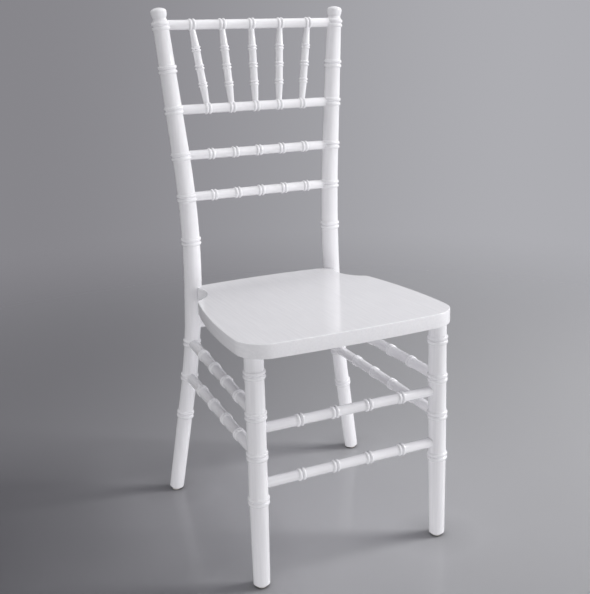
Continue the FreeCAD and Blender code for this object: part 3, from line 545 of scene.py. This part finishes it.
# Rings at even steps towards a corner, so that a plain length bends smoothly
def plainLength(start, endRadius, endPlace):
    radius, startPlace = start[:2]
    steps = int((endPlace - startPlace) / rearPost["ringStep"])
    shares = [step / steps for step in range(1, steps)]
    radiusGain, run = endRadius - radius, endPlace - startPlace
    return [(radius + radiusGain * share, startPlace + run * share, None, 0) for share in shares]


def postOutline():
    foot, chamfer = rearPost["footDiameter"] / 2, rearPost["footChamfer"]
    beadReach = postBeads["width"] + postBeads["gap"] / 2
    outline = [(0, 0, None, 0), (foot - chamfer, 0, None, 0), (foot, chamfer, None, softened)]
    for name in ("ankleBeads", "sideLower", "sideUpper", "seatUnderside", "seatBeads", "backLower",
                 "backUpper", "spindles", "midBeads", "crestBeads"):
        radius, distance = postRadius(level[name]), alongPost(level[name])
        if name == "seatUnderside":
            outline += plainLength(outline[-1], radius, distance) + [(radius, distance, None, 0)]
        else:
            outline += plainLength(outline[-1], radius, distance - beadReach)
            outline += beadPair(distance, radius, postBeads)
    return outline + finialCorners(alongPost(level["crestBeads"]) + beadReach, alongPost(postTop))


# Cone, neck, knob and crown above the crest beads
def finialCorners(base, top):
    knob, neck, rim = finial["diameter"] / 2, finial["neckDiameter"] / 2, finial["rim"]
    swellBend = ((knob - neck) ** 2 + finial["swell"] ** 2) / ((knob - neck) * 2)
    crownBend = (knob ** 2 + finial["crown"] ** 2) / (finial["crown"] * 2)
    rimRise = math.sqrt((crownBend - rim) ** 2 - (knob - rim) ** 2)
    share = crownBend / (crownBend - rim)
    crownMiddle = top - crownBend
    return [(neck, base + finial["flare"], swellBend, finial["neckEasing"]),
            (knob, base + finial["flare"] + finial["swell"], None, 0),
            (knob, crownMiddle + rimRise, rim, 0),
            ((knob - rim) * share, crownMiddle + rimRise * share, crownBend, 0),
            (0, top, None, 0)]


# Straight turning bent along the post's axis
def bendPost(bm):
    for vert in bm.verts:
        point, way = postAxis(vert.co.z)
        vert.co = point + sideways.cross(way) * vert.co.x + sideways * vert.co.y


def trimFoot(bm):           # cut level over the glide
    cut = bmesh.ops.bisect_plane(bm, geom=bm.verts[:] + bm.edges[:] + bm.faces[:],
                                 plane_co=(0, 0, glideThickness), plane_no=(0, 0, -1), clear_outer=True)
    rim = [item for item in cut["geom_cut"] if isinstance(item, bmesh.types.BMEdge)]
    bmesh.ops.edgeloop_fill(bm, edges=rim)


def mirrorTo(bm, side):
    bmesh.ops.scale(bm, vec=(side, 1, 1), verts=bm.verts)
    bmesh.ops.recalc_face_normals(bm, faces=bm.faces)


# The bolt runs from the back of the right post through its axis, inwards and forwards into the seat
postAtSeat, postWay = postAxis(alongPost(level["seatTop"] - seat["thickness"] / 2))
boltWay = seatTurn @ Vector((-1, -1, 0)).normalized()

# Recess in the back of a post for the head of that bolt
boltRecess = {"radius": 6.08, "headDepth": 3.0, "headHeight": 3.6}


def recessCutter(side):
    floorOut = rearPost["kneeDiameter"] / 2 - boltRecess["headDepth"] - boltRecess["headHeight"]
    start = postAtSeat - boltWay * floorOut
    end = postAtSeat - boltWay * rearPost["kneeDiameter"]
    return cylinder(boltRecess["radius"], onSide(start, side), onSide(end, side))


# Seat

def circlesMeet(centreA, radiusA, centreB, radiusB, left):
    gap = (centreB - centreA).length
    alongLine = (radiusA ** 2 - radiusB ** 2 + gap ** 2) / (2 * gap)
    offset = math.sqrt(radiusA ** 2 - alongLine ** 2)
    line = (centreB - centreA).normalized()
    return centreA + line * alongLine + Vector((-line.y, line.x, 0)) * (offset if left else -offset)


def away(origin, towards, radius):
    return origin + (towards - origin).normalized() * radius


# Right half of the plan, in tangent arcs from the front's middle round to the rear's middle
def drawSeatPlan(bm):
    half = seat["width"] / 2
    frontCentre = Vector((0, seatFront + seat["frontRadius"], 0))
    sideCentre = Vector((half - seat["sideRadius"], seatFront + seat["widestSetback"], 0))
    corner = circlesMeet(frontCentre, seat["frontRadius"] - seat["cornerRadius"],
                         sideCentre, seat["sideRadius"] - seat["cornerRadius"], True)
    waist = Vector((postAtSeat.x - seat["waistInset"] + seat["waistRadius"],
                    postAtSeat.y - seat["waistSetback"], 0))
    shoulder = circlesMeet(sideCentre, seat["sideRadius"] - seat["shoulderRadius"],
                           waist, seat["waistRadius"] + seat["shoulderRadius"], False)
    tailY = postAtSeat.y + seat["tail"]
    tailCentre = Vector((0, tailY - seat["tailRadius"], 0))
    hidden = rearPost["kneeDiameter"] / 2 * seat["cornerKept"]
    notchY = postAtSeat.y - hidden
    notchFront = Vector((waist.x - math.sqrt(seat["waistRadius"] ** 2 - (notchY - waist.y) ** 2), notchY, 0))
    notchX = postAtSeat.x - hidden
    notchRear = Vector((notchX, tailCentre.y + math.sqrt(seat["tailRadius"] ** 2 - notchX ** 2), 0))

    pen = bm.verts.new((0, seatFront, 0))
    pen = swing(bm, pen, frontCentre, away(frontCentre, corner, seat["frontRadius"]), planSteps["front"])
    pen = swing(bm, pen, corner, away(sideCentre, corner, seat["sideRadius"]), planSteps["corner"])
    pen = swing(bm, pen, sideCentre, away(sideCentre, shoulder, seat["sideRadius"]), planSteps["side"])
    pen = swing(bm, pen, shoulder, away(waist, shoulder, seat["waistRadius"]), planSteps["shoulder"])
    pen = swing(bm, pen, waist, notchFront, planSteps["waist"])
    pen = drawLine(bm, pen, notchRear)
    swing(bm, pen, tailCentre, Vector((0, tailY, 0)), planSteps["tail"])


def bevelRim(bm, height, offset, steps):
    rim = [edge for edge in bm.edges
           if all(abs(vert.co.z - height) < quality["merge"] for vert in edge.verts)]
    bmesh.ops.bevel(bm, geom=rim, affect="EDGES", offset=offset, segments=steps, profile=0.5, material=-1)


def seatMesh():
    bm = bmesh.new()
    drawSeatPlan(bm)
    bmesh.ops.mirror(bm, geom=bm.verts[:] + bm.edges[:], matrix=Matrix.Identity(4),
                     merge_dist=quality["merge"], axis="X")
    bmesh.ops.edgeloop_fill(bm, edges=bm.edges[:])
    lower = bmesh.ops.extrude_face_region(bm, geom=bm.faces[:], use_keep_orig=True)["geom"]
    bmesh.ops.translate(bm, vec=(0, 0, -seat["thickness"]),
                        verts=[item for item in lower if isinstance(item, bmesh.types.BMVert)])
    bmesh.ops.recalc_face_normals(bm, faces=bm.faces)
    bevelRim(bm, 0, seat["upperEasing"], seat["easingSteps"])
    bevelRim(bm, -seat["thickness"], seat["lowerEasing"], seat["easingSteps"])
    broad = sorted(bm.faces, key=lambda face: face.calc_area())[-2:]
    bmesh.ops.inset_individual(bm, faces=broad, thickness=seat["rim"], use_even_offset=True)
    bmesh.ops.transform(bm, matrix=Matrix.Translation((0, 0, seatTopAt(0))) @ seatTurn.to_4x4(),
                        verts=bm.verts)
    return bm


# Notches for the posts, and from below the holes of the barrel nuts
def seatCutters():
    reach = postWay * (seat["thickness"] * 2)
    notchRadius = rearPost["kneeDiameter"] / 2 + seat["notchGap"]
    nutRise = seat["nutLength"] / 2 + seat["nutRoom"]
    nutTop = postAtSeat + boltWay * seat["nutSetback"] + seatNormal * nutRise
    nutEnd = nutTop - seatNormal * seat["thickness"]
    cutters = []
    for side, _ in sides:
        cutters.append(cylinder(notchRadius, onSide(postAtSeat - reach, side),
                                onSide(postAtSeat + reach, side)))
        cutters.append(cylinder(seat["nutRadius"], onSide(nutTop, side), onSide(nutEnd, side)))
    return cutters


for side, sideName in sides:
    post = turn(postOutline(), quality["postSteps"])
    bendPost(post)
    trimFoot(post)
    mirrorTo(post, side)
    finish("rear_post_" + sideName, post, lacquerUpright, [recessCutter(side)])
print("rear posts")

finish("seat_panel", seatMesh(), lacquerLengthways, seatCutters())
print("seat")


# Front legs

frontLeg = {
    "diameter": 31.4,
    "footDiameter": 28.4,
    "splay": 3.6,               # how far the foot stands out to the side of the leg's top
    "rake": 10.0,               # and how far in front of it
    "topBeadDrop": 33.5,        # from the shoulder under the seat
    "footChamfer": 6.0,
    "tenonDiameter": 18.0,
    "tenonLength": 12.0,
    "seating": 1.8,             # how far it is let into the seat
}
legFoot = footPoint("front")
legTopY = legFoot.y + frontLeg["rake"]
legShoulder = Vector((legFoot.x - frontLeg["splay"], legTopY,
                      seatTopAt(legTopY) - seat["thickness"] + frontLeg["seating"]))
legLength = (legShoulder - legFoot).length


def onLeg(height):
    return legFoot + (legShoulder - legFoot) * (height / legShoulder.z)


def tenonEnd(diameter, base, top):      # outline of a tenon above its shoulder
    chamfer = tenon["chamfer"]
    return [(diameter / 2, base, None, 0), (diameter / 2, top - chamfer, None, 0),
            (diameter / 2 - chamfer, top, None, 0), (0, top, None, 0)]


def legOutline():
    radius, foot = frontLeg["diameter"] / 2, frontLeg["footDiameter"] / 2
    chamfer = frontLeg["footChamfer"]
    outline = [(0, 0, None, 0), (foot - chamfer, 0, None, 0), (foot, chamfer, None, softened)]
    for name in ("footBeads", "sideLower", "sideUpper"):
        outline += beadPair(level[name] * legLength / legShoulder.z, radius, postBeads)
    outline += beadPair(legLength - frontLeg["topBeadDrop"], radius, postBeads)
    outline.append((radius, legLength, None, 0))
    return outline + tenonEnd(frontLeg["tenonDiameter"], legLength, legLength + frontLeg["tenonLength"])


for side, sideName in sides:
    leg = turn(legOutline(), quality["postSteps"])
    place(leg, legFoot, legShoulder)
    trimFoot(leg)
    mirrorTo(leg, side)
    finish("front_leg_" + sideName, leg, lacquerUpright)
print("front legs")


# Rails and stretchers

def rodOutline(span, radius, pairs, pitch, beads):
    length, chamfer = tenon["length"], tenon["chamfer"]
    total = span + length * 2
    outline = [(0, 0, None, 0), (tenon["diameter"] / 2 - chamfer, 0, None, 0),
               (tenon["diameter"] / 2, chamfer, None, 0), (tenon["diameter"] / 2, length, None, 0),
               (radius, length, None, 0)]
    for number in range(pairs):
        outline += beadPair(total / 2 + pitch * (number - (pairs - 1) / 2), radius, beads)
    outline.append((radius, total - length, None, 0))
    return outline + tenonEnd(tenon["diameter"], total - length, total)


# How far from a round carrier's axis a rod's shoulder stands
def shoulderDistance(carrierRadius, rodRadius):
    return math.sqrt(carrierRadius ** 2 - rodRadius ** 2) - tenon["shoulderMargin"]


# Rod between the axes of two round carriers
def makeRod(name, start, startRadius, end, endRadius, kind, pitch, material):
    radius = kind["diameter"] / 2
    way = (end - start).normalized()
    near = start + way * shoulderDistance(startRadius, radius)
    far = end - way * shoulderDistance(endRadius, radius)
    outline = rodOutline((far - near).length, radius, kind["pairs"], pitch, kind["beads"])
    rod = turn(outline, quality["rodSteps"])
    place(rod, near - way * tenon["length"], far)
    finish(name, rod, material)


for name, height, kind, pitch in (
        ("crest_rail", level["crest"], rail, rail["crestPitch"]),
        ("spindle_rail", level["spindles"], rail, rail["pitch"]),
        ("back_rail_upper", level["backUpper"], rail, rail["pitch"]),
        ("back_rail_lower", level["backLower"], rail, rail["pitch"]),
        ("rear_stretcher", level["rear"], stretcher, stretcher["pitch"])):
    right, radius = onPost(height), postRadius(height)
    makeRod(name, onSide(right, -1), radius, right, radius, kind, pitch, lacquerAcross)
for name, height in (("front_stretcher_upper", level["frontUpper"]),
                     ("front_stretcher_lower", level["frontLower"])):
    right, radius = onLeg(height), frontLeg["diameter"] / 2
    makeRod(name, onSide(right, -1), radius, right, radius, stretcher, stretcher["pitch"], lacquerAcross)
for side, sideName in sides:
    for levelName, height in (("upper", level["sideUpper"]), ("lower", level["sideLower"])):
        makeRod("side_stretcher_%s_%s" % (sideName, levelName), onSide(onLeg(height), side),
                frontLeg["diameter"] / 2, onSide(onPost(height), side), postRadius(height), sideStretcher,
                sideStretcher["pitch"], lacquerLengthways)
print("rails and stretchers")


# Spindles, fanned from the spindle rail up to the crest rail

spindle = {
    "count": 5,
    "diameter": 13.6,
    "endDiameter": 10.2,
    "beads": {"width": 4.2, "rise": 1.6, "gap": 1.0},
    "pairs": 3,
    "pitch": 31.3,
    "tenonDiameter": 6.6,
    "tenonLength": 5.4,
}


def spindleOutline(span):
    length, chamfer = spindle["tenonLength"], tenon["chamfer"]
    tenonRadius, endRadius = spindle["tenonDiameter"] / 2, spindle["endDiameter"] / 2
    total = span + length * 2
    outline = [(0, 0, None, 0), (tenonRadius - chamfer, 0, None, 0), (tenonRadius, chamfer, None, 0),
               (tenonRadius, length, None, 0), (endRadius, length, None, 0)]
    for number in range(spindle["pairs"]):
        centre = total / 2 + spindle["pitch"] * (number - (spindle["pairs"] - 1) / 2)
        outline += beadPair(centre, spindle["diameter"] / 2, spindle["beads"])
    outline.append((endRadius, total - length, None, 0))
    return outline + tenonEnd(spindle["tenonDiameter"], total - length, total)


for number in range(spindle["count"]):
    offset = number - (spindle["count"] - 1) / 2
    low = Vector((offset * rail["pitch"], onPost(level["spindles"]).y, level["spindles"]))
    high = Vector((offset * rail["crestPitch"], onPost(level["crest"]).y, level["crest"]))
    way = (high - low).normalized()
    inset = shoulderDistance(rail["diameter"] / 2, spindle["endDiameter"] / 2)
    near, far = low + way * inset, high - way * inset
    rod = turn(spindleOutline((far - near).length), quality["rodSteps"])
    place(rod, near - way * spindle["tenonLength"], far)
    finish("spindle_%d" % (number + 1), rod, lacquerUpright)
print("spindles")


# Camera at the photograph's angle

cameraSettings = {
    "place": (-664.6, -1463.05, 936.7),      # mm, in the chair's frame
    "azimuth": 27.56,                       # degrees to the right of straight ahead
    "elevation": 17.92,                     # degrees down
    "roll": -0.11,
    "lens": 57.84,                          # mm
    "sensorWidth": 36,                      # mm
    "shiftX": -0.0969,
    "shiftY": 0.0053,
}


def makeCamera():
    settings = cameraSettings
    data = bpy.data.cameras.new("camera")
    camera = bpy.data.objects.new("camera", data)
    bpy.context.scene.collection.objects.link(camera)
    data.sensor_fit = "HORIZONTAL"
    data.sensor_width = settings["sensorWidth"]
    data.lens = settings["lens"]
    data.shift_x = settings["shiftX"]
    data.shift_y = settings["shiftY"]
    facing = Matrix.Rotation(math.radians(-settings["azimuth"]), 4, "Z")
    facing = facing @ Matrix.Rotation(math.radians(90 - settings["elevation"]), 4, "X")
    facing = facing @ Matrix.Rotation(math.radians(settings["roll"]), 4, "Z")
    camera.matrix_world = Matrix.Translation(Vector(settings["place"]) * mm) @ facing
    bpy.context.scene.camera = camera


makeCamera()


# Studio: a pale floor that fades into the backdrop

studio = {
    "floorRadius": 2.3,             # metres
    "floorSteps": 96,
    "fadeFrom": 0.75,               # metres from the chair's middle
    "darkSide": "#87868B",          # backdrop at the left of the picture
    "lightSide": "#AEAEB3",         # and at the right
    "backdropShift": (-0.35, 0.2),  # where it changes, as the sine of the angle from the picture's middle
    # painted light and shade: the floor's colour is shaded on the side away from the key and lit on the
    # key's side
    "floorShadedSide": "#CDCCD1",
    "floorLitSide": "#EBEBEE",
    "floorShift": (-0.75, 0.35),    # metres across the picture, where the floor's painted shade turns to painted light
    "paintedShadeReach": 0.07,           # metres, how far from a foot the painted shade darkens the floor towards it
    "paintedShadeDepth": 1.2,            # how strongly the painted shade darkens it there
    # colour of the painted shade at a foot
    "paintedShadeColour": "#000000",
    "floorRoughness": 0.16,
    "floorIor": 1.4,                # thin sheen
    "horizonLight": "#4E4E50",      # soft light from all round
    "zenithLight": "#6C6C6F",       # and from the ceiling
}
# Panels in metres and watts: a key at the right, and fills for what walls, ceiling and floor throw back. A
# fill shows in no reflection. It neither lights the floor nor is blocked by it, so that the key alone draws
# the chair's shadow there.
lamps = {
    "keyPanel": {"place": (2.1, -0.72, 1.7), "aim": (0, 0, 0.45), "size": (0.9, 0.7), "power": 29,
                 "fill": False},
    "lowPanel": {"place": (2.5, -2.1, 0.5), "aim": (0, 0, 0.4), "size": (2.0, 0.8), "power": 54,
                 "fill": True},
    "leftPanel": {"place": (-2.5, -1.2, 0.5), "aim": (0, 0, 0.45), "size": (1.6, 0.9), "power": 27,
                  "fill": True},
    "cameraPanel": {"place": (-1.3, -3.0, 0.6), "aim": (0, 0, 0.45), "size": (1.6, 0.9), "power": 8,
                    "fill": True},
    "topPanel": {"place": (0.2, 0.3, 2.8), "aim": (0, 0, 0.45), "size": (2.0, 2.0), "power": 37,
                 "fill": True},
    "backPanel": {"place": (2.1, 1.2, 0.9), "aim": (0, 0, 0.45), "size": (1.3, 1.3), "power": 5,
                  "fill": True},
    "bouncePanel": {"place": (0.3, 0, -0.2), "aim": (0.3, 0, 1), "size": (1.4, 1.4), "power": 2.0,
                    "fill": True},
}


def makeLamps(floor):
    floorLeftOut = bpy.data.collections.new("floorLeftOut")
    floorLeftOut.objects.link(floor)
    floorLeftOut.collection_objects[0].light_linking.link_state = "EXCLUDE"
    for name, lamp in lamps.items():
        data = bpy.data.lights.new(name, "AREA")
        data.shape = "RECTANGLE"
        data.size, data.size_y = lamp["size"]
        data.energy = lamp["power"]
        panel = bpy.data.objects.new(name, data)
        bpy.context.scene.collection.objects.link(panel)
        panel.location = lamp["place"]
        panel.rotation_euler = (Vector(lamp["aim"]) - panel.location).to_track_quat("-Z", "Y").to_euler()
        panel.visible_camera = False
        if lamp["fill"]:
            panel.light_linking.receiver_collection = floorLeftOut
            panel.light_linking.blocker_collection = floorLeftOut
            panel.visible_glossy = False


# Painted studio floor, rolled on: pale grey, softly glossy, and see-through past the chair's surroundings.
# Its colour carries painted light and shade: lit on the key's side, shaded on the other, and painted shade
# darkening it towards each foot
def rolledFloorPaint():
    material, tree = newMaterial("rolledFloorPaint")
    coords = addNode(tree, "ShaderNodeTexCoord").outputs["Object"]
    # painted light and shade across the floor, lit on the key's side and shaded on the other
    facing = addNode(tree, "ShaderNodeMapping",
                     {"Rotation": (0, 0, math.radians(cameraSettings["azimuth"]))}, {"Vector": coords})
    parts = addNode(tree, "ShaderNodeSeparateXYZ", {}, {"Vector": facing.outputs["Vector"]})
    shiftFrom, shiftTo = studio["floorShift"]
    shift = addNode(tree, "ShaderNodeMapRange",
                    {"From Min": shiftFrom, "From Max": shiftTo, "interpolation_type": "SMOOTHSTEP"},
                    {"Value": parts.outputs["X"]})
    tint = addNode(tree, "ShaderNodeMixRGB",
                   {"Color1": linear(studio["floorShadedSide"]), "Color2": linear(studio["floorLitSide"])},
                   {"Fac": shift.outputs["Result"]})
    # painted shade: ambient occlusion darkens the floor's colour towards each foot, standing in for the
    # shadow there
    near = addNode(tree, "ShaderNodeAmbientOcclusion", {"Distance": studio["paintedShadeReach"]})
    depth = addNode(tree, "ShaderNodeMath", {"operation": "POWER", 1: studio["paintedShadeDepth"]},
                    {0: near.outputs["AO"]})
    shadedTint = addNode(tree, "ShaderNodeMixRGB", {"Color1": linear(studio["paintedShadeColour"])},
                   {"Fac": depth.outputs["Value"], "Color2": tint.outputs["Color"]})
    distance = addNode(tree, "ShaderNodeVectorMath", {"operation": "LENGTH"}, {0: coords})
    fade = addNode(tree, "ShaderNodeMapRange",
                   {"From Min": studio["fadeFrom"], "From Max": studio["floorRadius"],
                    "interpolation_type": "SMOOTHSTEP"},
                   {"Value": distance.outputs["Value"]})
    paint = addNode(tree, "ShaderNodeBsdfPrincipled",
                    {"Roughness": studio["floorRoughness"], "IOR": studio["floorIor"]},
                    {"Base Color": shadedTint.outputs["Color"]})
    clear = addNode(tree, "ShaderNodeBsdfTransparent")
    mixed = addNode(tree, "ShaderNodeMixShader", {},
                    {0: fade.outputs["Result"], 1: paint.outputs["BSDF"], 2: clear.outputs["BSDF"]})
    addNode(tree, "ShaderNodeOutputMaterial", {}, {"Surface": mixed.outputs["Shader"]})
    return material


def makeFloor():
    bm = bmesh.new()
    bmesh.ops.create_circle(bm, cap_ends=True, segments=studio["floorSteps"], radius=studio["floorRadius"])
    floor = bpy.data.objects.new("floor", meshOf("floor", bm))
    bpy.context.scene.collection.objects.link(floor)
    floor.data.materials.append(rolledFloorPaint())
    return floor


# Backdrop for what looks at it or mirrors it, and a soft light from above and all round for the rest
def makeWorld():
    world = bpy.data.worlds.new("studio")
    bpy.context.scene.world = world
    world.use_nodes = True
    tree = world.node_tree
    tree.nodes.clear()
    coords = addNode(tree, "ShaderNodeTexCoord").outputs["Generated"]
    facing = addNode(tree, "ShaderNodeMapping",
                     {"Rotation": (0, 0, math.radians(cameraSettings["azimuth"]))}, {"Vector": coords})
    parts = addNode(tree, "ShaderNodeSeparateXYZ", {}, {"Vector": facing.outputs["Vector"]})
    shiftFrom, shiftTo = studio["backdropShift"]
    shift = addNode(tree, "ShaderNodeMapRange",
                    {"From Min": shiftFrom, "From Max": shiftTo, "interpolation_type": "SMOOTHSTEP"},
                    {"Value": parts.outputs["X"]})
    tint = addNode(tree, "ShaderNodeMixRGB",
                   {"Color1": linear(studio["darkSide"]), "Color2": linear(studio["lightSide"])},
                   {"Fac": shift.outputs["Result"]})
    backdrop = addNode(tree, "ShaderNodeBackground", {}, {"Color": tint.outputs["Color"]})
    height = addNode(tree, "ShaderNodeSeparateXYZ", {}, {"Vector": coords})
    rise = addNode(tree, "ShaderNodeMapRange", {"interpolation_type": "SMOOTHSTEP"},
                   {"Value": height.outputs["Z"]})
    sky = addNode(tree, "ShaderNodeMixRGB",
                  {"Color1": linear(studio["horizonLight"]), "Color2": linear(studio["zenithLight"])},
                  {"Fac": rise.outputs["Result"]})
    ambient = addNode(tree, "ShaderNodeBackground", {}, {"Color": sky.outputs["Color"]})
    path = addNode(tree, "ShaderNodeLightPath")
    seen = addNode(tree, "ShaderNodeMath", {"operation": "MAXIMUM"},
                   {0: path.outputs["Is Camera Ray"], 1: path.outputs["Is Glossy Ray"]})
    shown = addNode(tree, "ShaderNodeMath", {"operation": "MAXIMUM"},
                    {0: seen.outputs["Value"], 1: path.outputs["Is Transmission Ray"]})
    mixed = addNode(tree, "ShaderNodeMixShader", {},
                    {0: shown.outputs["Value"], 1: ambient.outputs["Background"],
                     2: backdrop.outputs["Background"]})
    addNode(tree, "ShaderNodeOutputWorld", {}, {"Surface": mixed.outputs["Shader"]})


makeLamps(makeFloor())
makeWorld()
bpy.context.scene.view_settings.view_transform = "Standard"
print("studio")
